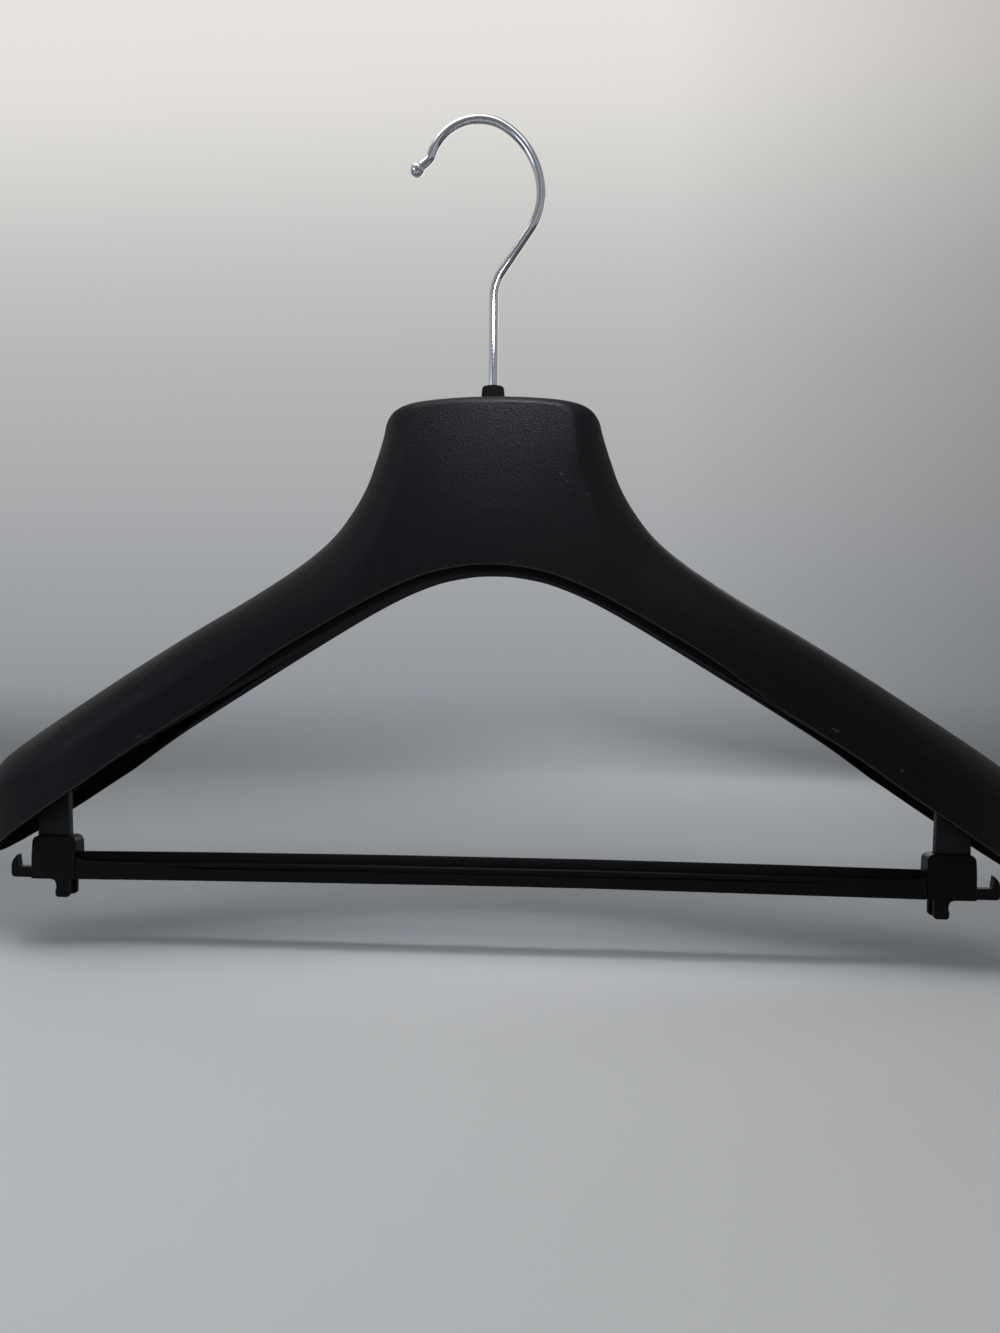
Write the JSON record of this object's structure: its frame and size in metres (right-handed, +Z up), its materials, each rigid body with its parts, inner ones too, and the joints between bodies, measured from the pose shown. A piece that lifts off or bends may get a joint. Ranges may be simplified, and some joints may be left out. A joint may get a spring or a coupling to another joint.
{
  "type": "suit hanger",
  "caption": "Wide-shouldered hollow suit hanger with a swivel wire hook and a clip-on trouser bar that has a non-slip strip and skirt-loop hooks.",
  "frame": {"origin": "rail seat: the point of the hook's inner crown that lies on the swivel axis", "axes": "+Z up along the hook's swivel axis, +X along the shoulders to the right seen from the front, -Y towards the front"},
  "size_m": [0.443, 0.0516, 0.3402],
  "materials": {
    "grained_plastic": "black, fine leather grain, satin",
    "smooth_plastic": "black, smooth, satin",
    "soft_strip": "dark grey, soft, dull",
    "chrome": "polished plating",
    "plated_steel": "plain zinc plating"
  },
  "bodies": {
    "shell": {"hanger_shell": "grained_plastic", "hook_sleeve": "smooth_plastic"},
    "hook": {"hook_wire": "chrome", "hook_ball_tip": "chrome", "hook_retainer": "plated_steel"},
    "bar": {"trouser_bar": "smooth_plastic", "non_slip_strip": "soft_strip", "left_end_collar": "smooth_plastic", "right_end_collar": "smooth_plastic"}
  },
  "joints": [
    {"name": "hook_swivel", "type": "hinge", "parent": "shell", "child": "hook", "pos_m": [0, 0, -0.118], "axis": [0, 0, 1], "continuous": true},
    {"name": "bar_release", "type": "slide", "parent": "shell", "child": "bar", "axis": [0, 0, -1], "range_m": [0, 0.018]}
  ]
}
